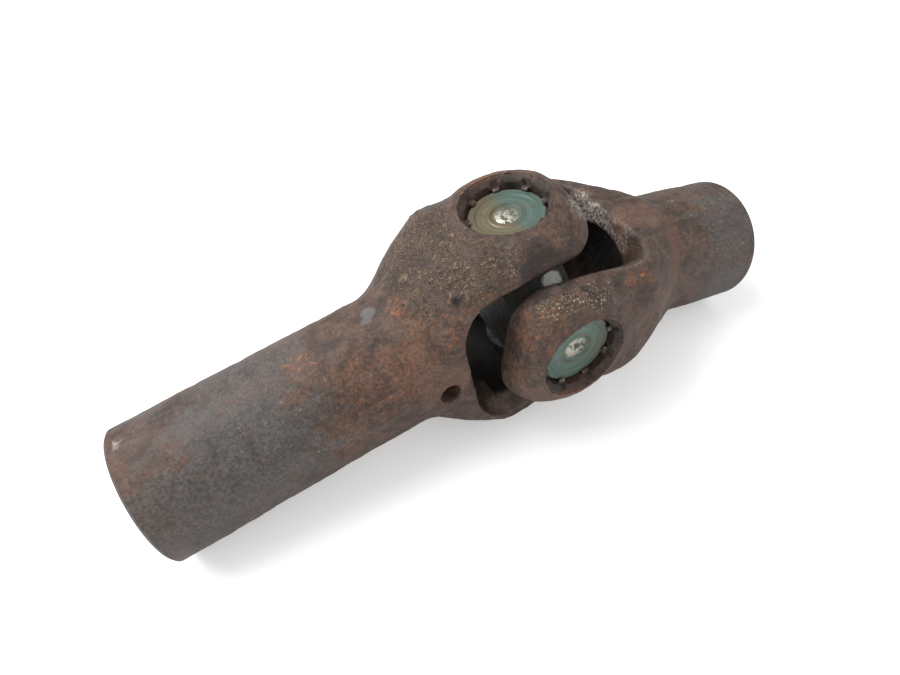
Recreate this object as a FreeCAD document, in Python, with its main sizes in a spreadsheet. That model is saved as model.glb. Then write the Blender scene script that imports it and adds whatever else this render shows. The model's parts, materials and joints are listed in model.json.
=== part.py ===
import FreeCAD, Part
import os
from math import asin, atan2, cos, degrees, hypot, pi, sin, sqrt, tan

import Sketcher
from FreeCAD import Placement, Rotation, Vector

# A universal joint of two tubular yokes and a cross in needle bearings.
# Each yoke is drawn with its tube along +X and its bearing bore along Z, about the centre of
# the cross. Each bearing piece is drawn for the arm that points along +Z. Lengths are in mm.

doc = FreeCAD.newDocument("universal_joint")
sheet = doc.addObject("Spreadsheet::Sheet", "dim")

driving_sizes = (
    ("tube_radius", 21.0, "outer radius of both tubes"),
    ("tube_wall", 5.5, "wall of both tubes"),
    ("end_bevel", 0.8, "bevel round the outer edge of a tube's end"),
    ("long_reach", 124.5, "cross centre to the end of the long tube"),
    ("long_neck", 44, "cross centre to where the long tube swells"),
    ("long_knee", 31.5, "cross centre to the middle of that swelling"),
    ("long_knee_radius", 29.6, "radius at the middle of that swelling"),
    ("long_brow", 20, "cross centre to the full shoulder of the long yoke"),
    ("long_brow_radius", 36.8, "radius of that shoulder"),
    ("long_crotch", 29.5, "cross centre to the bottom of the long yoke's fork"),
    ("short_reach", 85.7, "cross centre to the end of the short tube"),
    ("short_neck", 50, "cross centre to where the short tube swells"),
    ("short_knee", 41, "cross centre to the middle of that swelling"),
    ("short_knee_radius", 25.8, "radius at the middle of that swelling"),
    ("short_brow", 25.0, "cross centre to the full shoulder of the short yoke"),
    ("short_brow_radius", 34.6, "radius of that shoulder"),
    ("short_crotch", 29.5, "cross centre to the bottom of the short yoke's fork"),
    ("ear_crown", 35.2, "cross centre to the top of an ear"),
    ("ear_height", 15.6, "height of an ear from its inner face to its top"),
    ("ear_boss_rise", 0.4, "rise of an ear's top above the yoke's shoulder beside it"),
    ("ear_radius", 22.6, "radius of an ear about its bore"),
    ("crown_slope", 9.5, "angle at which the crown behind an ear falls towards the tube"),
    ("crown_start", 10.0, "cross centre to where that fall begins"),
    ("ear_tip", 18.4, "cross centre to the blunt end of an ear"),
    ("tip_round", 9.5, "rounding of that blunt end"),
    ("forging_radius", 37.6, "radius that the outermost corners of a forging reach"),
    ("ear_round", 11.4, "rounding of an ear's outer edge"),
    ("ear_chamfer", 2.8, "chamfer of an ear's inner edge"),
    ("flank_angle", 40.5, "half angle that an ear takes up, seen along the tube"),
    ("fork_round", 15, "rounding in the corners of the fork"),
    ("fork_side", 27, "half height of the fork where its flanks end"),
    ("neck_round", 9.0, "hollow rounding where a tube swells"),
    ("brow_round", 9.0, "rounding of a yoke's shoulder"),
    ("weld_hole_radius", 3.2, "radius of the drilled hole in the long yoke"),
    ("weld_hole_place", 37.5, "cross centre to that hole along the tube"),
    ("cup_radius", 11.9, "outer radius of a bearing cup and of its bore"),
    ("cup_inset", 4.3, "depth of a cup's face below the top of its ear"),
    ("cup_height", 12.5, "height of a cup from its open end to its face"),
    ("cup_floor", 2.6, "thickness of a cup's bottom"),
    ("cup_corner", 1.2, "rounding of a cup's outer edge"),
    ("cup_band", 9.3, "inner radius of the raised band round a cup's face"),
    ("cup_step", 0.4, "depth of the turned face inside that band"),
    ("cup_eye", 5.0, "radius of the small turned ring about a cup's middle"),
    ("lip_inset", 2.3, "depth of a bore's chamfer below the top of its ear"),
    ("spot_radius", 13.6, "radius of the spot face round a bore"),
    ("spot_depth", 1.2, "depth of the spot face below the top of an ear"),
    ("stake_count", 8, "stake marks round each bore"),
    ("stake_width", 2.0, "width of a stake mark"),
    ("stake_depth", 1.1, "radial depth of a stake mark"),
    ("stake_height", 1.0, "height of a staked lug's top below the bore's chamfer"),
    ("stake_lug", 1.25, "reach of a staked lug over the cup"),
    ("stake_turn", -17.0, "angle of the first stake mark from the tube"),
    ("button_radius", 3.6, "radius of a thrust button"),
    ("button_rise", 0.75, "rise of a thrust button's rounded head"),
    ("needle_radius", 1.5, "radius of a needle roller"),
    ("needle_length", 8.6, "length of a needle roller"),
    ("needle_play", 0.02, "clearance at a needle, and between a button and its trunnion"),
    ("trunnion_radius", 7.0, "radius of a trunnion"),
    ("trunnion_gap", 0.35, "gap between a trunnion's end and the bottom of its cup"),
    ("trunnion_bevel", 0.5, "bevel at the end of a trunnion"),
    ("seal_room", 2.6, "room between a cup and the shoulder of its trunnion"),
    ("cross_radius", 19.2, "radius of the cross's forged body"),
    ("cross_half_width", 10.5, "half thickness of that body along the tubes"),
    ("reservoir_radius", 1.75, "radius of the grease hole in a trunnion"),
    ("reservoir_depth", 12.0, "depth of that hole"),
    ("shield_radius", 12.4, "outer radius of a seal retainer"),
    ("shield_sheet", 0.7, "sheet thickness of a seal retainer"),
    ("shield_height", 2.2, "height of a seal retainer"),
    ("seal_gap", 0.2, "gap between a seal and its cup"),
)
for row, (alias, size, meaning) in enumerate(driving_sizes, start=1):
    sheet.set(f"A{row}", meaning)
    sheet.set(f"B{row}", str(size))
    sheet.setAlias(f"B{row}", alias)
doc.recompute()


def value(expression):
    """The number that an expression on the sheet's cells gives."""
    return float(sheet.evalExpression(str(expression)))


def bind(item, **formulas):
    """Ties properties of a feature to expressions on the sheet's cells."""
    for name, formula in formulas.items():
        item.setExpression(name, str(formula))
    return item


def feature(kind, name, **properties):
    item = doc.addObject(kind, name)
    for key, content in properties.items():
        setattr(item, key, content)
    return item


# places that follow from the driving sizes
tube_bore = "(dim.tube_radius - dim.tube_wall)"
far = "(2 * dim.ear_crown)"                             # clear of a yoke's head on any side
root_radius = "(dim.ear_crown - dim.ear_boss_rise)"
ear_inner = "(dim.ear_crown - dim.ear_height)"
cup_face = "(dim.ear_crown - dim.cup_inset)"
cup_mouth = f"({cup_face} - dim.cup_height)"
cup_bottom = f"({cup_face} - dim.cup_floor)"
bore_lip = "(dim.ear_crown - dim.lip_inset)"
lug_top = f"({bore_lip} - dim.stake_height)"
shoulder = f"({cup_mouth} - dim.seal_room)"
trunnion_end = f"({cup_bottom} - dim.trunnion_gap)"
needle_ring = "(dim.trunnion_radius + dim.needle_play + dim.needle_radius)"
needle_track = "(dim.trunnion_radius + 2 * dim.needle_play + 2 * dim.needle_radius)"

flat = Placement()                                              # drawn on X and Y
upright = Placement(Vector(), Rotation(Vector(1, 0, 0), 90))    # drawn on X and Z
endways = Placement(Vector(), Rotation(Vector(1, 1, 1), 120))   # drawn on Y and Z


def corner_arc(before, here, after, radius):
    """Where a rounding leaves one side and joins the next, and its centre."""
    to_before, to_after = (before - here).normalize(), (after - here).normalize()
    half = to_before.getAngle(to_after) / 2
    leave = here + to_before * (radius / tan(half))
    join = here + to_after * (radius / tan(half))
    centre = here + (to_before + to_after).normalize() * (radius / sin(half))
    return leave, join, centre


def fix_point(sketch, geometry, end, x_formula, y_formula):
    """Holds a point at its two distances from the sketch's origin."""
    for kind, axis, formula in (("DistanceX", -2, x_formula), ("DistanceY", -1, y_formula)):
        distance = value(formula)
        if distance == 0:
            sketch.addConstraint(Sketcher.Constraint("PointOnObject", geometry, end, axis))
        else:
            index = sketch.addConstraint(
                Sketcher.Constraint(kind, -1, 1, geometry, end, distance))
            sketch.setExpression(f"Constraints[{index}]", str(formula))


def outline(name, plane, corners):
    """A closed outline of straight sides. A corner is two distances and, if round, a radius."""
    sketch = feature("Sketcher::SketchObject", name, Placement=plane)
    count = len(corners)
    points = [Vector(value(corner[0]), value(corner[1]), 0) for corner in corners]
    leaves, joins, arcs = list(points), list(points), {}
    for index, corner in enumerate(corners):
        if len(corner) == 3:
            leaves[index], joins[index], centre = corner_arc(
                points[index - 1], points[index], points[(index + 1) % count], value(corner[2]))
            side_in, side_out = points[index] - points[index - 1], points[(index + 1) % count] - points[index]
            arcs[index] = (centre, side_in.cross(side_out).z > 0)
    for index in range(count):
        sketch.addGeometry(Part.LineSegment(joins[index], leaves[(index + 1) % count]))
    for index, corner in enumerate(corners):
        side_in, side_out = (index - 1) % count, index
        if index not in arcs:
            sketch.addConstraint(Sketcher.Constraint("Coincident", side_in, 2, side_out, 1))
            fix_point(sketch, side_out, 1, corner[0], corner[1])
            continue
        centre, left_turn = arcs[index]
        first, last = (leaves[index], joins[index]) if left_turn else (joins[index], leaves[index])
        angles = [atan2(point.y - centre.y, point.x - centre.x) for point in (first, last)]
        circle = Part.Circle(centre, Vector(0, 0, 1), value(corner[2]))
        arc = sketch.addGeometry(Part.ArcOfCircle(circle, angles[0], angles[1]))
        arc_in, arc_out = (1, 2) if left_turn else (2, 1)
        sketch.addConstraint(Sketcher.Constraint("Tangent", side_in, 2, arc, arc_in))
        sketch.addConstraint(Sketcher.Constraint("Tangent", side_out, 1, arc, arc_out))
        radius = sketch.addConstraint(Sketcher.Constraint("Radius", arc, value(corner[2])))
        sketch.setExpression(f"Constraints[{radius}]", str(corner[2]))
        tip = sketch.addGeometry(Part.Point(points[index]), True)
        fix_point(sketch, tip, 1, corner[0], corner[1])
        for side in (side_in, side_out):
            sketch.addConstraint(Sketcher.Constraint("PointOnObject", tip, 1, side))
    return sketch


def turned(name, plane, axis, corners):
    """A solid of revolution about an axis through the origin."""
    return feature("Part::Revolution", name, Source=outline(name + "_outline", plane, corners),
                   Axis=axis, Angle=360.0, Solid=True)


def prism(name, plane, direction, length, corners):
    """A straight solid, half its length each way from the plane of its outline."""
    body = feature("Part::Extrusion", name, Base=outline(name + "_outline", plane, corners),
                   DirMode="Custom", Dir=direction, Solid=True, Symmetric=True)
    return bind(body, LengthFwd=length)


def fused(name, *pieces):
    return feature("Part::MultiFuse", name, Shapes=list(pieces))


def shared(name, *pieces):
    return feature("Part::MultiCommon", name, Shapes=list(pieces))


def cut(name, body, *tools):
    tool = tools[0] if len(tools) == 1 else fused(name + "_tools", *tools)
    return feature("Part::Cut", name, Base=body, Tool=tool)


def rod(name, radius, length, turn=Rotation(), **place):
    """A cylinder from its place, along Z unless it is turned."""
    body = feature("Part::Cylinder", name, Placement=Placement(Vector(), turn))
    bind(body, Radius=radius, Height=length)
    for axis, formula in place.items():
        body.setExpression("Placement.Base." + axis, str(formula))
    return body


def tube_and_shoulder(side):
    """The tube, swelling to the shoulder and running on to the bore's axis."""
    reach, neck, knee, brow = (f"dim.{side}_{part}" for part in ("reach", "neck", "knee", "brow"))
    shell = turned(f"{side}_shell", flat, Vector(1, 0, 0), (
        ("0", tube_bore),
        (f"{reach}", tube_bore),
        (f"{reach}", "dim.tube_radius - dim.end_bevel"),
        (f"{reach} - dim.end_bevel", "dim.tube_radius"),
        (neck, "dim.tube_radius", "dim.neck_round"),
        (knee, f"{knee}_radius", "dim.brow_round"),
        (brow, f"{brow}_radius", "dim.brow_round"),
        ("0", root_radius),
    ))
    cheeks = prism(f"{side}_cheeks", endways, Vector(1, 0, 0), f"2 * {reach}", (
        ("-dim.ear_radius", "-dim.ear_crown", "dim.ear_round"),
        ("dim.ear_radius", "-dim.ear_crown", "dim.ear_round"),
        ("dim.ear_radius", "dim.ear_crown", "dim.ear_round"),
        ("-dim.ear_radius", "dim.ear_crown", "dim.ear_round"),
    ))
    crown_fall = f"({neck} - dim.crown_start) * tan(dim.crown_slope)"
    crown = prism(f"{side}_crown", upright, Vector(0, 1, 0), f"2 * {far}", (
        (f"-{far}", "-dim.ear_crown"),
        ("dim.crown_start", "-dim.ear_crown"),
        (neck, f"{crown_fall} - dim.ear_crown"),
        (f"{reach} + dim.tube_radius", f"{crown_fall} - dim.ear_crown"),
        (f"{reach} + dim.tube_radius", f"dim.ear_crown - {crown_fall}"),
        (neck, f"dim.ear_crown - {crown_fall}"),
        ("dim.crown_start", "dim.ear_crown"),
        (f"-{far}", "dim.ear_crown"),
    ))
    return shared(f"{side}_tube", shell, cheeks, crown)


def blunt_end(side):
    """What is left of a forging when the ends of its ears are struck flat and rounded."""
    return turned(f"{side}_blunt", flat, Vector(1, 0, 0), (
        ("-dim.ear_tip", "0"),
        ("-dim.ear_tip", "dim.forging_radius", "dim.tip_round"),
        (f"dim.{side}_reach", "dim.forging_radius"),
        (f"dim.{side}_reach", "0"),
    ))


def ear_boss(side, name, turn):
    """The round end of one ear about its bore, with a rounded outer edge."""
    boss = turned(f"{side}_{name}_boss", upright, Vector(0, 0, 1), (
        ("0", ear_inner),
        ("dim.ear_radius - dim.ear_chamfer", ear_inner),
        ("dim.ear_radius", f"{ear_inner} + dim.ear_chamfer"),
        ("dim.ear_radius", "dim.ear_crown", "dim.ear_round"),
        ("0", "dim.ear_crown"),
    ))
    boss.Placement = Placement(Vector(), turn)
    return boss


def fork_gap(side):
    """What the fork leaves open: a rounded slot whose flanks slant away from each ear."""
    crotch = f"dim.{side}_crotch"
    slot = prism(f"{side}_slot", upright, Vector(0, 1, 0), f"2 * {far}", (
        (f"-{far}", "-dim.fork_side"),
        (crotch, "-dim.fork_side", "dim.fork_round"),
        (crotch, "dim.fork_side", "dim.fork_round"),
        (f"-{far}", "dim.fork_side"),
    ))
    inner_width = f"{ear_inner} * tan(dim.flank_angle)"
    outer_width = f"{far} * tan(dim.flank_angle)"
    flanks = prism(f"{side}_flanks", endways, Vector(1, 0, 0), f"2 * {far}", (
        (f"-({inner_width})", f"-{ear_inner}"),
        (inner_width, f"-{ear_inner}"),
        (outer_width, f"-{far}"),
        (outer_width, far),
        (inner_width, ear_inner),
        (f"-({inner_width})", ear_inner),
        (f"-({outer_width})", far),
        (f"-({outer_width})", f"-{far}"),
    ))
    return shared(f"{side}_gap", slot, flanks)


def bore_cuts(side, name, turn):
    """The bearing bore of one ear, with its chamfer and spot face."""
    cuts = turned(f"{side}_{name}_bore", upright, Vector(0, 0, 1), (
        ("0", f"{ear_inner} / 2"),
        ("dim.cup_radius", f"{ear_inner} / 2"),
        ("dim.cup_radius", bore_lip),
        ("(dim.cup_radius + 3 * dim.spot_radius) / 4", "dim.ear_crown - dim.spot_depth"),
        ("dim.spot_radius", "dim.ear_crown - dim.spot_depth"),
        ("dim.spot_radius", far),
        ("0", far),
    ))
    cuts.Placement = Placement(Vector(), turn)
    return cuts


def stake_blocks(side, name, turn, part, start, depth, base, height):
    """One small block at each stake mark, from a start radius outwards."""
    blocks = []
    for index in range(stake_count):
        block = bind(feature("Part::Box", f"{side}_{name}_{part}_{index}"),
                     Length=depth, Width="dim.stake_width", Height=height)
        round_bore = Rotation(Vector(0, 0, 1), value("dim.stake_turn") + index * 360 / stake_count)
        corner = Vector(value(start), -value("dim.stake_width") / 2, value(base))
        block.Placement = Placement(Vector(), turn * round_bore) * Placement(corner, Rotation())
        blocks.append(block)
    return blocks


def yoke(side, *drillings):
    """One forged yoke with its tube, bored, drilled and staked over its cups."""
    ears = (("first", Rotation()), ("second", upside_down))
    head = fused(f"{side}_head", tube_and_shoulder(side),
                 *(ear_boss(side, name, turn) for name, turn in ears))
    dents, lugs = [], []
    for name, turn in ears:
        dents += stake_blocks(side, name, turn, "dent", "dim.cup_radius - dim.stake_lug",
                              "dim.stake_lug + dim.stake_depth", lug_top,
                              f"dim.ear_crown - {lug_top}")
        lugs += stake_blocks(side, name, turn, "lug", "dim.cup_radius - dim.stake_lug",
                             "dim.stake_lug + dim.stake_depth", cup_face,
                             f"{lug_top} - {cup_face}")
    struck = shared(f"{side}_struck", head, blunt_end(side))
    bored = cut(f"{side}_bored", struck, fork_gap(side), *drillings,
                *(bore_cuts(side, name, turn) for name, turn in ears), *dents)
    return fused(f"{side}_yoke", bored, *lugs)


def bearing_cup(name):
    """A closed cup, its face turned with a band, a step and a small ring round the button."""
    step = "dim.cup_step"
    eye_outer, eye_inner = "dim.cup_eye + dim.cup_step / 2", "dim.cup_eye - dim.cup_step / 2"
    return turned(name, upright, Vector(0, 0, 1), (
        (needle_track, cup_mouth),
        ("dim.cup_radius", cup_mouth),
        ("dim.cup_radius", cup_face, "dim.cup_corner"),
        ("dim.cup_band", cup_face),
        (f"dim.cup_band - {step}", f"{cup_face} - {step}"),
        (f"{eye_outer} + {step}", f"{cup_face} - {step}"),
        (eye_outer, f"{cup_face} - {step} / 2"),
        (eye_inner, f"{cup_face} - {step} / 2"),
        (f"{eye_inner} - {step}", f"{cup_face} - 3 * {step} / 2"),
        ("dim.button_radius", f"{cup_face} - 3 * {step} / 2"),
        ("dim.button_radius", cup_bottom),
        (needle_track, cup_bottom),
    ))


def thrust_button(name):
    """A hardened pin through the bottom of a cup. Its outer end is domed."""
    foot = f"({trunnion_end} + dim.needle_play)"
    top = f"({cup_face} + dim.cup_step / 4)"
    shank = rod(f"{name}_shank", "dim.button_radius", f"{top} - {foot}", z=foot)
    dome_radius = "(dim.button_radius ^ 2 + dim.button_rise ^ 2) / (2 * dim.button_rise)"
    dome = bind(feature("Part::Sphere", f"{name}_dome"), Radius=dome_radius)
    dome.setExpression("Placement.Base.z", f"{top} - ({dome_radius})")
    return shared(name, shank, dome)


def needle_rollers(name):
    """The full set of loose needles between a trunnion and its cup."""
    needles = []
    for index in range(needle_count):
        turn = index * 360 / needle_count
        needles.append(rod(
            f"{name}_{index}", "dim.needle_radius", "dim.needle_length",
            x=f"{needle_ring} * cos({turn})", y=f"{needle_ring} * sin({turn})",
            z=f"{cup_bottom} - dim.needle_play - dim.needle_length"))
    return feature("Part::Compound", name, Links=needles)


def seal_retainer(name):
    """A pressed steel dish on the shoulder of a trunnion."""
    return turned(name, upright, Vector(0, 0, 1), (
        ("dim.trunnion_radius", shoulder),
        ("dim.shield_radius", shoulder),
        ("dim.shield_radius", f"{shoulder} + dim.shield_height"),
        ("dim.shield_radius - dim.shield_sheet", f"{shoulder} + dim.shield_height"),
        ("dim.shield_radius - dim.shield_sheet", f"{shoulder} + dim.shield_sheet"),
        ("dim.trunnion_radius", f"{shoulder} + dim.shield_sheet"),
    ))


def trunnion_seal(name):
    """A rubber ring in the retainer, with a lip that stands up to the mouth of the cup."""
    floor, top = f"({shoulder} + dim.shield_sheet)", f"({cup_mouth} - dim.seal_gap)"
    rim = "dim.shield_radius - dim.shield_sheet"
    return turned(name, upright, Vector(0, 0, 1), (
        ("dim.trunnion_radius", floor),
        (rim, floor),
        (rim, f"({floor} + {top}) / 2"),
        (f"(dim.cup_radius + {needle_track}) / 2", top),
        (needle_track, top),
        (f"{needle_track} - dim.shield_sheet", f"({floor} + {top}) / 2"),
        ("dim.trunnion_radius", f"({floor} + {top}) / 2"),
    ))


def trunnion(name, turn):
    """One arm of the cross, from inside its body, with the grease hole in its end."""
    arm = turned(name, upright, Vector(0, 0, 1), (
        ("0", "dim.cross_half_width / 2"),
        ("dim.trunnion_radius", "dim.cross_half_width / 2"),
        ("dim.trunnion_radius", f"{trunnion_end} - dim.trunnion_bevel"),
        ("dim.trunnion_radius - dim.trunnion_bevel", trunnion_end),
        ("dim.reservoir_radius", trunnion_end),
        ("dim.reservoir_radius", f"{trunnion_end} - dim.reservoir_depth"),
        ("0", f"{trunnion_end} - dim.reservoir_depth"),
    ))
    arm.Placement = Placement(Vector(), turn)
    return arm


def cross_piece(name):
    """The cross: a forged ball, flat at its four shoulders and on both sides, with its arms."""
    ball = bind(feature("Part::Sphere", "cross_ball"), Radius="dim.cross_radius")
    block = bind(feature("Part::Box", "cross_block"), Length="2 * dim.cross_half_width",
                 Width=f"2 * {shoulder}", Height=f"2 * {shoulder}")
    for axis, size in (("x", "dim.cross_half_width"), ("y", shoulder), ("z", shoulder)):
        block.setExpression("Placement.Base." + axis, f"-{size}")
    arms = [trunnion(f"cross_arm_{index}", turn) for index, turn in enumerate(cross_arms)]
    return fused(name, shared("cross_body", ball, block), *arms)


stake_count = round(value("dim.stake_count"))
needle_count = int(pi / asin(value("(dim.needle_radius + dim.needle_play) / " + needle_ring)))

along_y = Rotation(Vector(1, 0, 0), -90)
against_y = Rotation(Vector(1, 0, 0), 90)
upside_down = Rotation(Vector(1, 0, 0), 180)
cross_arms = (Rotation(), upside_down, along_y, against_y)

# The joint lies on three things: the spot face of the long yoke's lower ear, the end of the
# long tube, and the end of the short tube, which hangs down from the bearings until it lands.
ear_arc_centre = value("dim.ear_radius - dim.ear_round")
ear_contact = value("dim.ear_crown - dim.ear_round") + sqrt(
    value("dim.ear_round") ** 2 - (value("dim.spot_radius") - ear_arc_centre) ** 2)
tube_radius = value("dim.tube_radius")
long_contact = value("dim.long_reach - dim.end_bevel")
short_contact = value("dim.short_reach - dim.end_bevel")
long_tilt = atan2(ear_contact - tube_radius, long_contact - value("dim.spot_radius"))
centre_height = long_contact * sin(long_tilt) + tube_radius * cos(long_tilt)
short_tilt = asin(centre_height / hypot(short_contact, tube_radius)) - atan2(tube_radius, short_contact)


def end_of_tube(reach, tilt):
    """How far a tilted tube's end reaches out from the cross, measured along the floor."""
    return reach * cos(tilt) + value("dim.tube_radius - dim.end_bevel") * sin(tilt)


middle = (end_of_tube(value("dim.long_reach"), long_tilt)
          - end_of_tube(value("dim.short_reach"), short_tilt)) / 2
centre = Placement(Vector(middle, 0, centre_height), Rotation())
long_turn = Rotation(Vector(0, 1, 0), -degrees(long_tilt)) * Rotation(Vector(0, 0, 1), 180)
short_turn = Rotation(Vector(0, 1, 0), degrees(short_tilt)) * Rotation(Vector(1, 0, 0), 90)

nodes = {}


def place(item, name, turn):
    """Gives a piece its name and its place in the resting joint."""
    item.Label = name
    item.Placement = centre * Placement(Vector(), turn)
    nodes[name] = item


weld_hole = rod("weld_hole", "dim.weld_hole_radius", far, along_y, x="dim.weld_hole_place")
place(yoke("long", weld_hole), "long_yoke", long_turn)
place(yoke("short"), "short_yoke", short_turn)
place(cross_piece("cross_whole"), "cross", long_turn)

arms = (
    ("upper", long_turn, Rotation(), Rotation()),
    ("lower", long_turn, upside_down, upside_down),
    ("near", short_turn, Rotation(), along_y),
    ("far", short_turn, upside_down, against_y),
)
for arm, yoke_turn, in_yoke, in_cross in arms:
    for piece, make in (("bearing_cup", bearing_cup), ("thrust_button", thrust_button),
                        ("needle_rollers", needle_rollers)):
        place(make(f"{piece}_{arm}_form"), f"{piece}_{arm}", yoke_turn * in_yoke)
    for piece, make in (("trunnion_seal", trunnion_seal), ("seal_retainer", seal_retainer)):
        place(make(f"{piece}_{arm}_form"), f"{piece}_{arm}", long_turn * in_cross)

doc.recompute()
for item in doc.Objects:
    if {"Invalid", "Error"} & set(item.State):
        raise RuntimeError(f"{item.Name} has failed: {item.State}")
for name, item in nodes.items():
    if item.Shape.isNull() or not item.Shape.isValid():
        raise RuntimeError(f"{name} has no valid shape")

os.makedirs("parts", exist_ok=True)
for name, item in nodes.items():
    item.Shape.exportStep(f"parts/{name}.step")
print(f"long yoke tilted {degrees(long_tilt):.2f}, short yoke {degrees(short_tilt):.2f} degrees,",
      f"cross centre at {middle:.3f}, {centre_height:.3f} mm, {needle_count} needles in a cup")
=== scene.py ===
import json
import math

import bpy
import numpy as np
from mathutils import Matrix, Vector


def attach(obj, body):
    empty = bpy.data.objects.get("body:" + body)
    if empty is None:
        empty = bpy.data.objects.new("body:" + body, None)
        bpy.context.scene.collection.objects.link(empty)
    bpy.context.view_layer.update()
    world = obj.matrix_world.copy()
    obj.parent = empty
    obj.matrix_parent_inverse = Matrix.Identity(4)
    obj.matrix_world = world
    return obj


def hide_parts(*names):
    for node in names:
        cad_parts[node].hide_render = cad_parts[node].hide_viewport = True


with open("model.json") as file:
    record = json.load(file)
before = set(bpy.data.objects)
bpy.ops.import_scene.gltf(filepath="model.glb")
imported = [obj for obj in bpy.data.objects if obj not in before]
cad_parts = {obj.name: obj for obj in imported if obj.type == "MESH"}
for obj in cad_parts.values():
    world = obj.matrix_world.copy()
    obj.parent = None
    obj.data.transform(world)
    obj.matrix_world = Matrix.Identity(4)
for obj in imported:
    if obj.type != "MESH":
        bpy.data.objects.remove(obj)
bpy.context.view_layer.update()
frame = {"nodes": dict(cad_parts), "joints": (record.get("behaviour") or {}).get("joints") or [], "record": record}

# A rusty universal joint. The two yokes are softened and pitted copies of their solids, with
# crisp bores. The small bearing parts keep their solids and get their own finishes.

nodes = frame["nodes"]
record = frame["record"]
joints = {joint["name"]: joint for joint in frame["joints"]}
mounts = {mount["name"]: mount for mount in record["mounts"]}

mm = 0.001
crossCentre = Vector(joints["long_yoke_swivel"]["pos_m"])
upArm = Vector(joints["long_yoke_swivel"]["axis"])        # out of the upper cup
nearArm = Vector(joints["short_yoke_swivel"]["axis"])     # out of the near cup
longWay = Vector(mounts["long_tube_bore"]["axis"])        # to the open end of the long tube
shortWay = Vector(mounts["short_tube_bore"]["axis"])      # to the open end of the short tube
print("frame loaded,", len(nodes), "nodes")

# Places on a yoke are given in millimetres from the middle of the cross: along its tube, out
# along its bearings, and sideways.
longYoke = {
    "node": "long_yoke", "body": "long_yoke_body", "way": longWay, "arm": upArm,
    "reach": 124.5, "collarRadius": 14.4, "earTop": 35.2, "voxel": 0.64, "softSteps": 46,
    "holePlace": (37.5, 0, -21), "holeRadius": 3.2,
    "rubbedWall": (20.5, 23.0),
    "marks": {
        "haze": [((92, 12, -15), 24, 1.0), ((84, 18, 6), 20, 0.8), ((100, -10, -18), 22, 0.8),
                 ((112, 15, 14), 12, 0.5), ((117, 8, -19), 17, 0.95), ((114, -10, -18), 18, 0.9),
                 ((14, 30, 18), 9, 0.7), ((20, 26, 22), 9, 0.8)],
        "scale": [((27, 29, 4), 15, 1.0), ((20, 31, -12), 13, 1.0), ((12, 33, -14), 8, 0.6),
                  ((33, 24, -6), 9, 0.6), ((18, 30, 14), 10, 0.7)],
        "orange": [((70, 20.6, -4), 5, 0.9), ((39, 22.5, -4), 4, 1.0), ((21, 24, -22), 5, 0.9),
                   ((30, 20, -20), 9, 0.4), ((55, 12, -17), 12, 0.35)],
        "patch": [((47.4, 20.9, 1.2), 2.4, 0.8), ((48.8, 20.8, -1.4), 1.8, 0.7)],
        "sootAndShade": [((26.8, 26.3, -16.9), 1.9, 1.0), ((24.6, 27.2, -17.0), 1.7, 1.0),
                 ((23.0, 27.8, -17.1), 1.3, 0.9), ((2, 27.5, -21), 6.5, 0.75),
                 ((6, 27, -21), 4.5, 0.8), ((-3, 26, -21.5), 5, 0.6), ((0, 22, -21), 8, 0.7)],
        "flecks": [((11, 28, -19), 3.2, 1.0), ((91.6, 18, -10.8), 1.0, 1.0),
                   ((93.7, 14.1, -15.6), 1.0, 1.0), ((24, 27, 16), 7, 0.6)],
        "wear": [((-16, 31, -11), 4, 0.45), ((122, 20.8, 2), 2.6, 0.7)],
    },
}
shortYoke = {
    "node": "short_yoke", "body": "short_yoke_body", "way": shortWay, "arm": nearArm,
    "reach": 85.7, "collarRadius": 14.4, "earTop": 35.2, "voxel": 0.64, "softSteps": 46,
    "holePlace": None, "holeRadius": 0,
    "rubbedWall": (14.5, 18.0),
    "marks": {
        "haze": [((76, 12, -15), 16, 0.9), ((76, 20, 6), 16, 0.9), ((60, 18, -8), 10, 0.35)],
        "scale": [((-10, 30, -16), 9, 0.5), ((30, 24, -18), 10, 0.35)],
        "orange": [((16, 29, -18.8), 2.6, 1.0), ((21, 29, -18.8), 2.8, 1.0),
                   ((24, 29, -18.9), 2.4, 1.0), ((-14, 30, -10), 9, 0.4), ((30, 30, -6), 8, 0.4)],
        "patch": [],
        "sootAndShade": [((-1.5, 29.4, -20.6), 1.5, 0.8), ((-0.2, 31.0, -19.4), 1.2, 0.8),
                 ((1.0, 32.2, -18.2), 1.0, 0.6), ((10, 29.2, -19.8), 2.2, 0.5),
                 ((-12, 24, -18.5), 3.5, 0.8), ((-5, 25.5, -20.6), 3.0, 0.7)],
        "flecks": [((-11, 29, -17.2), 4, 1.0), ((-6, 30.5, -18.6), 4, 1.0), ((0, 31, -19), 4, 1.0),
                   ((6, 30.5, -18.6), 4, 0.8), ((-18.1, 31.3, -6.6), 1.0, 1.0),
                   ((58, 0.4, -21), 1.7, 1.0), ((55, 4.4, -20.7), 1.6, 1.0),
                   ((67.6, 5.9, -20.2), 1.5, 1.0), ((60, 7.6, -19.6), 1.3, 1.0)],
        "wear": [((29.5, -12, -18.5), 4.5, 0.9), ((29.5, -7, -18), 4.5, 1.0),
                 ((29.5, -2, -17.6), 4.5, 1.0), ((29.5, 3, -17), 4, 0.9), ((29.5, 7, -16), 3.5, 0.8),
                 ((31, 10, -17.5), 4, 0.5), ((33, 31, -3), 2.5, 0.3)],
    },
}
camera = {"alongLong": 68.62, "above": 150.1, "inFront": 131.9, "lens": 26.35,
          "aimLong": 25.54, "aimAbove": -6.17, "aimInFront": -1.6, "roll": -5.77}
light = {"worldStrength": 0.62, "keyPower": 9.0, "keySize": 0.7, "keyPlace": (-0.42, 0.30, 0.75),
         "fillPower": 2.0, "fillSize": 0.9, "fillPlace": (0.5, -0.7, 0.6), "floorLift": 0.35}


def deselectAll():
    for item in list(bpy.context.selected_objects):
        item.select_set(False)


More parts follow.
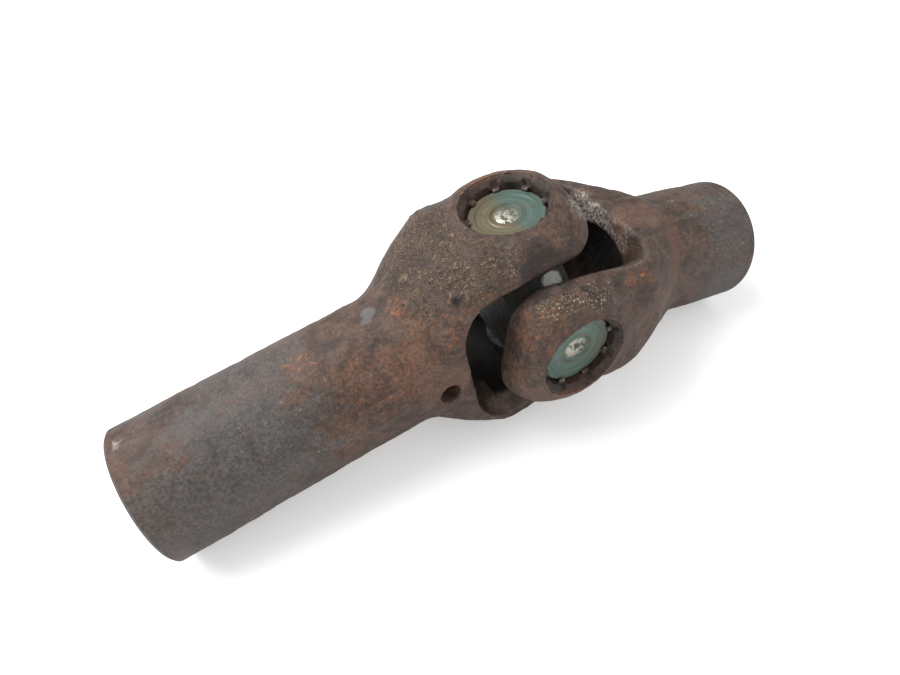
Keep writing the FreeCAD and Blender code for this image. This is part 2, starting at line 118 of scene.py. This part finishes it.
def makeActive(item):
    deselectAll()
    item.hide_set(False)
    item.select_set(True)
    bpy.context.view_layer.objects.active = item


def applyModifier(item, kind, **settings):
    makeActive(item)
    modifier = item.modifiers.new(kind.lower(), kind)
    for key, setting in settings.items():
        setattr(modifier, key, setting)
    bpy.ops.object.modifier_apply(modifier=modifier.name)


def copyOfNode(nodeName, pieceName):
    makeActive(nodes[nodeName])
    bpy.ops.object.duplicate()
    piece = bpy.context.view_layer.objects.active
    piece.name = piece.data.name = pieceName
    for key in [key for key in piece.keys() if key.startswith("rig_")]:
        del piece[key]
    piece.parent = None
    makeActive(piece)
    bpy.ops.object.mode_set(mode="EDIT")
    bpy.ops.mesh.select_all(action="SELECT")
    bpy.ops.mesh.remove_doubles(threshold=0.001 * mm)
    bpy.ops.object.mode_set(mode="OBJECT")
    return piece


def yokeFrame(yoke):
    # columns: along the tube, out along the bearings, sideways
    way, arm = yoke["way"], yoke["arm"]
    turn = Matrix((way, arm, way.cross(arm))).transposed().to_4x4()
    return Matrix.Translation(crossCentre) @ turn


def localPoints(yoke, piece):
    points = np.empty(len(piece.data.vertices) * 3)
    piece.data.vertices.foreach_get("co", points)
    toYoke = np.array(yokeFrame(yoke).inverted())
    return (points.reshape(-1, 3) @ toYoke[:3, :3].T + toYoke[:3, 3]) / mm


def smoothStep(low, high, amount):
    part = np.clip((amount - low) / (high - low), 0, 1)
    return part * part * (3 - 2 * part)


def addDisc(place, turn, radius, depth, sides=96):
    deselectAll()
    bpy.ops.mesh.primitive_cylinder_add(vertices=sides, radius=radius * mm, depth=depth * mm)
    disc = bpy.context.view_layer.objects.active
    disc.matrix_world = Matrix.Translation(place) @ turn
    makeActive(disc)
    bpy.ops.object.transform_apply()
    return disc


def crispTool(yoke):
    # one solid round each bore's mouth and one over the open end, where the copy stays exact
    place = yokeFrame(yoke)
    alongArm = place.to_3x3().to_4x4() @ Matrix.Rotation(math.radians(-90), 4, "X")
    alongTube = place.to_3x3().to_4x4() @ Matrix.Rotation(math.radians(90), 4, "Y")
    mouthDepth = 24
    tools = []
    for side in (1, -1):
        middle = place @ Vector((0, side * yoke["earTop"] * mm, 0))
        tools.append(addDisc(middle, alongArm, yoke["collarRadius"], mouthDepth))
    openEnd = place @ Vector((yoke["reach"] * mm, 0, 0))
    tools.append(addDisc(openEnd, alongTube, 26, 5))
    makeActive(tools[0])
    for tool in tools[1:]:
        tool.select_set(True)
    bpy.ops.object.join()
    return bpy.context.view_layer.objects.active


def setGroup(piece, name, weights):
    group = piece.vertex_groups.new(name=name)
    steps = 24
    levels = np.rint(weights * steps).astype(int)
    for level in range(1, steps + 1):
        members = np.nonzero(levels == level)[0].tolist()
        if members:
            group.add(members, level / steps, "REPLACE")


def lumps(piece, kind, size, depth, group, **settings):
    texture = bpy.data.textures.new(f"{piece.name}_{kind.lower()}_{size}", kind)
    texture.noise_scale = size * mm
    for key, setting in settings.items():
        setattr(texture, key, setting)
    applyModifier(piece, "DISPLACE", texture=texture, texture_coords="LOCAL", strength=depth * mm,
                  mid_level=0.5, vertex_group=group)


def paintAttribute(piece, name, amount):
    layer = piece.data.attributes.new(name, "FLOAT", "POINT")
    layer.data.foreach_set("value", np.ascontiguousarray(amount, dtype=np.float32))


def ragged(points, size, seed):
    # a cheap smooth noise of the place, from -1 to 1
    rng = np.random.default_rng(seed)
    total = np.zeros(len(points))
    for octave in range(4):
        for wave in range(3):
            direction = rng.normal(size=3)
            direction /= np.linalg.norm(direction)
            pitch = size / 1.9 ** octave
            phase = points @ direction * 2 * math.pi / pitch + rng.uniform(0, 6.3)
            total += np.sin(phase) / 1.5 ** octave
    return np.clip(total / 4, -1, 1)


def marksOn(yoke, points, name):
    amount = np.zeros(len(points))
    rough = ragged(points, 9, 3) * 0.28 + ragged(points, 3, 4) * 0.16
    for place, size, strength in yoke["marks"].get(name, []):
        distance = np.linalg.norm(points - np.array(place), axis=1) / size
        amount = np.maximum(amount, strength * (1 - smoothStep(0.55, 1.15, distance + rough)))
    return amount


def greaseAndShadeInside(yoke, piece):
    # grease and painted shade lie where the skin looks inwards: in the fork, and inside the tube
    points = localPoints(yoke, piece)
    normals = np.empty(len(points) * 3)
    piece.data.vertices.foreach_get("normal", normals)
    turn = np.array(yokeFrame(yoke).inverted())[:3, :3]
    normals = normals.reshape(-1, 3) @ turn.T
    toTube = points * (0, 1, 1)
    toMiddle = np.where(points[:, :1] > 33, toTube, points)
    inwards = -np.einsum("ij,ij->i", normals, toMiddle) / (np.linalg.norm(toMiddle, axis=1) + 0.1)
    greaseAndShade = smoothStep(0.05, 0.45, inwards + 0.12 * ragged(points, 5, 21))
    fromTube = np.hypot(points[:, 1], points[:, 2]) + 1.5 * ragged(points, 4, 22)
    rubbed = smoothStep(*yoke["rubbedWall"], fromTube)
    return greaseAndShade * (1 - rubbed * (points[:, 0] > 22))


def forgedYoke(yoke, pieceName):
    piece = copyOfNode(yoke["node"], pieceName)
    crisp = copyOfNode(yoke["node"], pieceName + "Crisp")
    applyModifier(piece, "REMESH", mode="VOXEL", voxel_size=yoke["voxel"] * mm)
    points = localPoints(yoke, piece)
    along, out, sideways = points.T
    fromBore = np.hypot(along, sideways)
    fromTube = np.hypot(out, sideways)
    soft = np.where(np.abs(out) > 17, smoothStep(yoke["collarRadius"], 18.5, fromBore), 1)
    soft = soft * (1 - smoothStep(yoke["reach"] - 9, yoke["reach"] - 4, along))
    if yoke["holePlace"]:
        fromHole = np.hypot(along - yoke["holePlace"][0], out - yoke["holePlace"][1])
        atHole = (sideways < 0) & (fromHole < 9)
        soft = np.where(atHole, soft * smoothStep(yoke["holeRadius"] + 0.9, 7.5, fromHole), soft)
    setGroup(piece, "soft", soft)
    applyModifier(piece, "SMOOTH", factor=0.5, iterations=yoke["softSteps"], vertex_group="soft")

    # how far each point stood proud of the softened skin: sharp edges wear first
    after = localPoints(yoke, piece)
    normals = np.empty(len(piece.data.vertices) * 3)
    piece.data.vertices.foreach_get("normal", normals)
    turn = np.array(yokeFrame(yoke).inverted())[:3, :3]
    proud = np.einsum("ij,ij->i", points - after, normals.reshape(-1, 3) @ turn.T)

    outside = smoothStep(17.5, 20.5, fromTube) * soft
    scaled = marksOn(yoke, after, "scale") * outside
    setGroup(piece, "skin", outside)
    setGroup(piece, "scaled", scaled)
    lumps(piece, "CLOUDS", 11, 0.7, "skin", noise_depth=2)
    lumps(piece, "CLOUDS", 2.6, 0.34, "skin", noise_depth=3)
    lumps(piece, "STUCCI", 1.3, 0.75, "scaled", turbulence=4)

    edges = smoothStep(0.16, 0.7, proud + 0.12 * ragged(after, 4, 8))
    rubbed = smoothStep(-0.5, 0.2, proud + 0.2 * ragged(after, 3, 9))
    wornEdges = 0.22 * edges * smoothStep(-0.1, 0.7, ragged(after, 14, 10))
    paintAttribute(piece, "wear", np.maximum(marksOn(yoke, after, "wear") * rubbed, wornEdges))
    paintAttribute(piece, "edge", edges)
    for name in ("haze", "orange", "patch", "sootAndShade", "flecks"):
        paintAttribute(piece, name, marksOn(yoke, after, name))
    paintAttribute(piece, "scale", scaled)
    paintAttribute(piece, "greaseAndShade", greaseAndShadeInside(yoke, piece))
    piece.vertex_groups.clear()

    tool = crispTool(yoke)
    applyModifier(piece, "BOOLEAN", object=tool, operation="DIFFERENCE", solver="EXACT")
    applyModifier(crisp, "BOOLEAN", object=tool, operation="INTERSECT", solver="EXACT")
    points = localPoints(yoke, crisp)
    fromBore = np.hypot(points[:, 0], points[:, 2])
    atMouth = np.abs(points[:, 1]) > 20
    lug = (fromBore < 11.8) & (np.abs(points[:, 1]) > 31.2)
    inRecess = (fromBore < 13.55) & atMouth
    paintAttribute(crisp, "wear", 0.4 * lug)
    paintAttribute(crisp, "edge", 0.35 * (np.abs(fromBore - 13.6) < 0.12) * atMouth)
    # painted shade: the bore wall and the recess round each cup, all but the stakes, are darkened
    paintAttribute(crisp, "sootAndShade", 0.72 * inRecess * ~lug)
    paintAttribute(crisp, "greaseAndShade", greaseAndShadeInside(yoke, crisp) * (fromBore > 14))
    for name in ("haze", "orange", "patch", "flecks"):
        paintAttribute(crisp, name, marksOn(yoke, points, name))
    paintAttribute(crisp, "scale", np.zeros(len(points)))
    bpy.data.objects.remove(tool)
    makeActive(piece)
    crisp.select_set(True)
    bpy.ops.object.join()
    piece.name = piece.data.name = pieceName
    makeActive(piece)
    bpy.ops.object.shade_smooth_by_angle(angle=math.radians(38))
    print(pieceName, len(piece.data.polygons), "faces")
    return piece


def startFinish(name):
    material = bpy.data.materials.new(name)
    material.use_nodes = True
    tree = material.node_tree
    return material, tree, tree.nodes["Principled BSDF"]


def add(tree, kind, **settings):
    node = tree.nodes.new("ShaderNode" + kind)
    for key, setting in settings.items():
        setattr(node, key, setting)
    return node


def feed(tree, socket, source):
    if isinstance(source, bpy.types.NodeSocket):
        tree.links.new(source, socket)
    else:
        socket.default_value = source


def millimetres(tree, place=None):
    # object coordinates in millimetres, in the frame of a yoke or an arm where one is given
    coords = add(tree, "TexCoord").outputs["Object"]
    mapping = add(tree, "Mapping", vector_type="POINT")
    turn = (place or Matrix.Identity(4)).inverted()
    mapping.inputs["Rotation"].default_value = turn.to_euler()
    mapping.inputs["Location"].default_value = turn.translation / mm
    mapping.inputs["Scale"].default_value = (1 / mm,) * 3
    tree.links.new(coords, mapping.inputs["Vector"])
    return mapping.outputs["Vector"]


def noiseOf(tree, coords, pitch, detail=3, roughness=0.55, distortion=0.0):
    node = add(tree, "TexNoise")
    feed(tree, node.inputs["Vector"], coords)
    node.inputs["Scale"].default_value = 1 / pitch
    node.inputs["Detail"].default_value = detail
    node.inputs["Roughness"].default_value = roughness
    node.inputs["Distortion"].default_value = distortion
    return node.outputs["Fac"]


def stretched(tree, coords, scale):
    node = add(tree, "Mapping", vector_type="POINT")
    feed(tree, node.inputs["Vector"], coords)
    node.inputs["Scale"].default_value = scale
    return node.outputs["Vector"]


def between(tree, source, low, high, start=0.0, end=1.0):
    node = add(tree, "MapRange", interpolation_type="SMOOTHSTEP")
    for key, setting in (("Value", source), ("From Min", low), ("From Max", high),
                         ("To Min", start), ("To Max", end)):
        feed(tree, node.inputs[key], setting)
    return node.outputs["Result"]


def sums(tree, operation, first, second=0.0, third=0.0):
    node = add(tree, "Math", operation=operation)
    for socket, source in zip(node.inputs, (first, second, third)):
        feed(tree, socket, source)
    return node.outputs[0]


def mixed(tree, amount, first, second, blend="MIX"):
    node = add(tree, "Mix", data_type="RGBA", blend_type=blend)
    feed(tree, node.inputs["Factor"], amount)
    for socket, source in zip((node.inputs[6], node.inputs[7]), (first, second)):
        feed(tree, socket, source if isinstance(source, bpy.types.NodeSocket) else (*source, 1.0))
    return node.outputs[2]


def painted(tree, name):
    return add(tree, "Attribute", attribute_name=name).outputs["Fac"]


def bumped(tree, height, distance, strength=1.0, onto=None):
    node = add(tree, "Bump")
    node.inputs["Distance"].default_value = distance * mm
    node.inputs["Strength"].default_value = strength
    feed(tree, node.inputs["Height"], height)
    if onto:
        feed(tree, node.inputs["Normal"], onto)
    return node.outputs["Normal"]


# the grime colour is grease and painted shade; the soot colour is also painted shade in the cup recesses and on
# the cross
rust = {"dark": (0.052, 0.034, 0.027), "brown": (0.112, 0.068, 0.050), "warm": (0.150, 0.076, 0.047),
        "grey": (0.120, 0.107, 0.100), "haze": (0.092, 0.086, 0.082), "orange": (0.36, 0.12, 0.040),
        "scale": (0.19, 0.135, 0.085), "sootAndShade": (0.014, 0.013, 0.012), "greaseAndShade": (0.011, 0.009, 0.008),
        "patch": (0.16, 0.165, 0.165), "bright": (0.50, 0.47, 0.43), "fleck": (0.55, 0.47, 0.33)}


def rustyForging(name, yoke):
    material, tree, shader = startFinish(name)
    coords = millimetres(tree, yokeFrame(yoke))
    broad = noiseOf(tree, coords, 22, 4, 0.6, 0.4)
    cloudy = noiseOf(tree, coords, 6.5, 5, 0.65, 0.6)
    grain = noiseOf(tree, coords, 1.1, 5, 0.7)
    dust = noiseOf(tree, coords, 0.38, 3, 0.7)
    streaks = noiseOf(tree, stretched(tree, coords, (0.12, 1, 1)), 2.2, 4, 0.6)

    colour = mixed(tree, between(tree, cloudy, 0.36, 0.66), rust["dark"], rust["brown"])
    colour = mixed(tree, between(tree, broad, 0.48, 0.68, 0, 0.75), colour, rust["warm"])
    colour = mixed(tree, between(tree, streaks, 0.52, 0.72, 0, 0.45), colour, rust["grey"])
    hazy = sums(tree, "MULTIPLY", painted(tree, "haze"), between(tree, cloudy, 0.2, 0.6, 0.55, 1.0))
    colour = mixed(tree, sums(tree, "MULTIPLY", hazy, 0.85), colour, rust["haze"])
    colour = mixed(tree, between(tree, painted(tree, "edge"), 0.2, 1.0, 0, 0.35), colour, rust["grey"])

    worms = sums(tree, "ABSOLUTE", sums(tree, "SUBTRACT", noiseOf(tree, coords, 2.3, 1, 0.5, 1.2), 0.5))
    ridges = between(tree, worms, 0.02, 0.07, 1.0, 0.0)
    scaly = sums(tree, "MULTIPLY", painted(tree, "scale"), ridges)
    colour = mixed(tree, sums(tree, "MULTIPLY", scaly, 0.7), colour, rust["scale"])
    troughs = sums(tree, "MULTIPLY", painted(tree, "scale"), sums(tree, "SUBTRACT", 1.0, ridges))
    colour = mixed(tree, between(tree, troughs, 0.2, 1.0, 0, 0.3), colour, rust["dark"])

    crumbs = between(tree, noiseOf(tree, coords, 1.7, 4, 0.75, 0.8), 0.52, 0.64)
    fewCrumbs = sums(tree, "MULTIPLY", crumbs, sums(tree, "ADD", 0.04, painted(tree, "orange")))
    colour = mixed(tree, sums(tree, "MINIMUM", fewCrumbs, 0.9), colour, rust["orange"])
    colour = mixed(tree, sums(tree, "MULTIPLY", painted(tree, "orange"), 0.35), colour, rust["warm"])
    for mottle, low, high, contrast in ((grain, 0.3, 0.7, 0.38), (dust, 0.35, 0.65, 0.20)):
        shade = mixed(tree, between(tree, mottle, low, high), (1 - contrast,) * 3, (1 + contrast,) * 3)
        colour = mixed(tree, 1.0, colour, shade, "MULTIPLY")

    patchy = sums(tree, "MULTIPLY", painted(tree, "patch"), between(tree, cloudy, 0.3, 0.55, 0.6, 1.0))
    colour = mixed(tree, patchy, colour, rust["patch"])
    # soot marks on the ears, and painted shade in the cup recesses
    sootyAndShaded = sums(tree, "MULTIPLY", painted(tree, "sootAndShade"), between(tree, streaks, 0.3, 0.6, 0.45, 1.0))
    colour = mixed(tree, sootyAndShaded, colour, rust["sootAndShade"])
    specks = between(tree, noiseOf(tree, coords, 0.62, 3, 0.65), 0.58, 0.64, 0.0, 0.75)
    speckled = sums(tree, "MULTIPLY", specks, painted(tree, "flecks"))
    everywhere = between(tree, noiseOf(tree, coords, 1.1, 1, 0.5), 0.78, 0.80, 0, 0.3)
    colour = mixed(tree, sums(tree, "MAXIMUM", speckled, everywhere), colour, rust["fleck"])
    scuffs = between(tree, noiseOf(tree, stretched(tree, coords, (0.45, 1, 1)), 0.9, 4, 0.7), 0.42, 0.6)
    bright = sums(tree, "MULTIPLY", painted(tree, "wear"), scuffs)
    colour = mixed(tree, bright, colour, rust["bright"])
    # grease and painted shade darken the fork and the inside of the tube
    greasyAndShaded = sums(tree, "MULTIPLY", painted(tree, "greaseAndShade"), between(tree, cloudy, 0.25, 0.6, 0.85, 1.0))
    colour = mixed(tree, greasyAndShaded, colour, rust["greaseAndShade"])
    feed(tree, shader.inputs["Base Color"], colour)
    feed(tree, shader.inputs["Metallic"], sums(tree, "MULTIPLY", bright, 0.35))

    roughness = between(tree, grain, 0.3, 0.7, 0.5, 0.72)
    roughness = sums(tree, "SUBTRACT", roughness, sums(tree, "MULTIPLY", painted(tree, "patch"), 0.12))
    roughness = sums(tree, "SUBTRACT", roughness, sums(tree, "MULTIPLY", bright, 0.1))
    feed(tree, shader.inputs["Roughness"], roughness)
    shader.inputs["Specular IOR Level"].default_value = 0.35

    normal = bumped(tree, cloudy, 0.35, 0.6)
    normal = bumped(tree, grain, 0.16, 0.8, normal)
    normal = bumped(tree, dust, 0.06, 0.6, normal)
    normal = bumped(tree, scaly, 0.55, 1.0, normal)
    feed(tree, shader.inputs["Normal"], normal)
    return material


def armPlace(arm):
    return Matrix.Translation(crossCentre) @ arm.to_track_quat("Z", "Y").to_matrix().to_4x4()


cupStain = {"olive": (0.150, 0.122, 0.070), "green": (0.095, 0.155, 0.130), "pale": (0.20, 0.23, 0.19),
            "rust": (0.15, 0.085, 0.045), "dark": (0.035, 0.036, 0.030)}
toolMark = {"fine": 0.42, "wide": 1.9}                     # pitch of the turned rings


def turnedCup(name, arm, towards, oliveFrom, oliveTo):
    # concentric tool marks under a green and yellow stain that shifts across the face
    material, tree, shader = startFinish(name)
    coords = millimetres(tree, armPlace(arm))
    split = add(tree, "SeparateXYZ")
    feed(tree, split.inputs[0], coords)
    radius = sums(tree, "SQRT", sums(tree, "ADD", sums(tree, "POWER", split.outputs[0], 2.0),
                                     sums(tree, "POWER", split.outputs[1], 2.0)))
    joined = add(tree, "CombineXYZ")
    feed(tree, joined.inputs[0], radius)
    alongRadius = joined.outputs[0]
    wobble = noiseOf(tree, coords, 5, 3)
    local = armPlace(arm).to_3x3().inverted() @ towards
    across = sums(tree, "ADD", sums(tree, "MULTIPLY", split.outputs[0], local.x),
                  sums(tree, "MULTIPLY", split.outputs[1], local.y))
    across = sums(tree, "ADD", across, sums(tree, "MULTIPLY", sums(tree, "SUBTRACT", wobble, 0.5), 10.0))
    colour = mixed(tree, between(tree, across, oliveFrom, oliveTo), cupStain["green"], cupStain["olive"])
    rings = noiseOf(tree, alongRadius, toolMark["fine"], 3, 0.6)
    wide = noiseOf(tree, alongRadius, toolMark["wide"], 2, 0.5)
    colour = mixed(tree, between(tree, wide, 0.45, 0.65, 0, 0.4), colour, cupStain["pale"])
    colour = mixed(tree, between(tree, rings, 0.55, 0.7, 0, 0.55), colour, cupStain["dark"])
    band = sums(tree, "MULTIPLY", between(tree, radius, 4.4, 4.7), between(tree, radius, 5.0, 5.4, 1, 0))
    colour = mixed(tree, sums(tree, "MULTIPLY", band, 0.5), colour, cupStain["rust"])
    rimRust = sums(tree, "MULTIPLY", between(tree, radius, 10.6, 11.6),
                   between(tree, wobble, 0.42, 0.6, 0.25, 1.0))
    colour = mixed(tree, rimRust, colour, cupStain["rust"])
    blotch = between(tree, noiseOf(tree, coords, 2.4, 5, 0.7), 0.56, 0.72, 0, 0.6)
    colour = mixed(tree, blotch, colour, cupStain["dark"])
    feed(tree, shader.inputs["Base Color"], colour)
    shader.inputs["Metallic"].default_value = 0.35
    feed(tree, shader.inputs["Roughness"], between(tree, wobble, 0.3, 0.7, 0.36, 0.55))
    normal = bumped(tree, rings, 0.09, 0.9)
    normal = bumped(tree, noiseOf(tree, coords, 0.8, 4, 0.7), 0.05, 0.6, normal)
    feed(tree, shader.inputs["Normal"], normal)
    return material


def wornSteel(name, bright, stain, stained, roughness, pitch):
    material, tree, shader = startFinish(name)
    coords = millimetres(tree)
    blotch = noiseOf(tree, coords, pitch, 5, 0.65, 0.5)
    fine = noiseOf(tree, coords, pitch / 6, 4, 0.7)
    colour = mixed(tree, between(tree, blotch, stained, stained + 0.14), bright, stain)
    colour = mixed(tree, between(tree, fine, 0.5, 0.75, 0, 0.5), colour, stain)
    feed(tree, shader.inputs["Base Color"], colour)
    feed(tree, shader.inputs["Metallic"], between(tree, blotch, stained, stained + 0.14, 0.95, 0.45))
    feed(tree, shader.inputs["Roughness"], between(tree, fine, 0.3, 0.7, roughness, roughness + 0.2))
    feed(tree, shader.inputs["Normal"], bumped(tree, fine, 0.05, 0.7))
    return material


def greasyShadedCross(name, rubbed):
    # caked in black grease that is partly painted shade, with bare metal and a painted highlight only round the
    # given places
    material, tree, shader = startFinish(name)
    coords = millimetres(tree, yokeFrame(shortYoke))
    lumpy = noiseOf(tree, coords, 4, 4, 0.6, 0.5)
    fine = noiseOf(tree, coords, 0.7, 4, 0.7)
    bareAndLit = 0.0
    for place, size in rubbed:
        apart = add(tree, "VectorMath", operation="DISTANCE")
        feed(tree, apart.inputs[0], coords)
        apart.inputs[1].default_value = place
        uneven = sums(tree, "ADD", apart.outputs["Value"], sums(tree, "MULTIPLY", lumpy, 3.0))
        bareAndLit = sums(tree, "MAXIMUM", bareAndLit, between(tree, uneven, size, size + 1.2, 1.0, 0.0))
    bareAndLit = sums(tree, "MULTIPLY", bareAndLit, between(tree, fine, 0.35, 0.6, 0.55, 1.0))
    darkGreaseAndShade = mixed(tree, between(tree, lumpy, 0.4, 0.7), rust["sootAndShade"], (0.045, 0.036, 0.030))
    # the bright patches are bare metal and a painted highlight
    feed(tree, shader.inputs["Base Color"], mixed(tree, bareAndLit, darkGreaseAndShade, (0.62, 0.61, 0.57)))
    feed(tree, shader.inputs["Metallic"], sums(tree, "MULTIPLY", bareAndLit, 0.5))
    feed(tree, shader.inputs["Roughness"], between(tree, fine, 0.3, 0.7, 0.45, 0.75))
    feed(tree, shader.inputs["Normal"], bumped(tree, fine, 0.12, 0.8, bumped(tree, lumpy, 0.5, 0.6)))
    return material


def blackRubber(name):
    material, tree, shader = startFinish(name)
    coords = millimetres(tree)
    greasy = noiseOf(tree, coords, 3, 4)
    feed(tree, shader.inputs["Base Color"], mixed(tree, between(tree, greasy, 0.4, 0.7),
                                                  (0.012, 0.012, 0.012), (0.035, 0.026, 0.02)))
    feed(tree, shader.inputs["Roughness"], between(tree, greasy, 0.35, 0.65, 0.35, 0.7))
    feed(tree, shader.inputs["Normal"], bumped(tree, noiseOf(tree, coords, 0.5), 0.04, 0.5))
    return material


def dress(item, material):
    item.data.materials.clear()
    item.data.materials.append(material)


print("yokes")
for yoke, pieceName in ((longYoke, "longYokeForging"), (shortYoke, "shortYokeForging")):
    piece = forgedYoke(yoke, pieceName)
    dress(piece, rustyForging(pieceName + "Rust", yoke))
    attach(piece, yoke["body"])
    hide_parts(yoke["node"])

print("bearings")
arms = {"upper": (upArm, longWay, -4.5, 3.5), "lower": (-upArm, longWay, -9, 2),
        "near": (nearArm, shortWay, 2, 16), "far": (-nearArm, shortWay, -8, 4)}
button = wornSteel("wornButton", (0.50, 0.48, 0.41), (0.075, 0.08, 0.06), 0.46, 0.42, 1.6)
needles = wornSteel("needleSteel", (0.6, 0.6, 0.6), (0.2, 0.17, 0.12), 0.62, 0.25, 3.0)
pressed = wornSteel("pressedRetainer", (0.16, 0.155, 0.15), (0.03, 0.027, 0.025), 0.48, 0.4, 4.0)
rubber = blackRubber("sealRubber")
for arm, (direction, towards, oliveFrom, oliveTo) in arms.items():
    cupFace = turnedCup(f"stainedCup_{arm}", direction, towards, oliveFrom, oliveTo)
    dress(nodes[f"bearing_cup_{arm}"], cupFace)
    dress(nodes[f"thrust_button_{arm}"], button)
    dress(nodes[f"needle_rollers_{arm}"], needles)
    dress(nodes[f"seal_retainer_{arm}"], pressed)
    dress(nodes[f"trunnion_seal_{arm}"], rubber)
dress(nodes["cross"], greasyShadedCross("greasyShadedCross", (((0.6, 14.3, -13.2), 4.3), ((0.5, -14.2, 13.0), 3.8))))

print("floor, light and camera")
deselectAll()
bpy.ops.mesh.primitive_plane_add(size=6)
floor = bpy.context.view_layer.objects.active
floor.name = "floor"
floorMaterial, tree, shader = startFinish("paleFloor")
shader.inputs["Base Color"].default_value = (0.9, 0.9, 0.9, 1)
shader.inputs["Roughness"].default_value = 0.9
shader.inputs["Emission Color"].default_value = (1, 1, 1, 1)
seen = add(tree, "LightPath").outputs["Is Camera Ray"]
feed(tree, shader.inputs["Emission Strength"], sums(tree, "MULTIPLY", seen, light["floorLift"]))
dress(floor, floorMaterial)

world = bpy.data.worlds.new("softWhite")
bpy.context.scene.world = world
world.use_nodes = True
sky = world.node_tree
background = sky.nodes["Background"]
background.inputs["Color"].default_value = (1, 1, 1, 1)
path = add(sky, "LightPath")
plain = sums(sky, "MAXIMUM", path.outputs["Is Camera Ray"], 0.0)
strength = sums(sky, "MAXIMUM", plain, light["worldStrength"])
feed(sky, background.inputs["Strength"], strength)

for name in ("key", "fill"):
    lampData = bpy.data.lights.new(name + "Light", "AREA")
    lampData.energy = light[name + "Power"]
    lampData.size = light[name + "Size"]
    lamp = bpy.data.objects.new(name + "Light", lampData)
    bpy.context.scene.collection.objects.link(lamp)
    lamp.location = crossCentre + Vector(light[name + "Place"])
    lamp.rotation_euler = (crossCentre - lamp.location).to_track_quat("-Z", "Y").to_euler()

cameraData = bpy.data.cameras.new("camera")
cameraData.lens = camera["lens"]
cameraData.clip_start = 0.01
cameraItem = bpy.data.objects.new("camera", cameraData)
bpy.context.scene.collection.objects.link(cameraItem)
cameraItem.location = crossCentre + mm * (camera["alongLong"] * longWay + camera["above"] * upArm
                                          + camera["inFront"] * nearArm)
aim = crossCentre + mm * (camera["aimLong"] * longWay + camera["aimAbove"] * upArm
                          + camera["aimInFront"] * nearArm)
level = (aim - cameraItem.location).to_track_quat("-Z", "Y").to_matrix().to_4x4()
cameraItem.rotation_euler = (level @ Matrix.Rotation(math.radians(camera["roll"]), 4, "Z")).to_euler()
bpy.context.scene.camera = cameraItem
bpy.context.scene.view_settings.view_transform = "Standard"
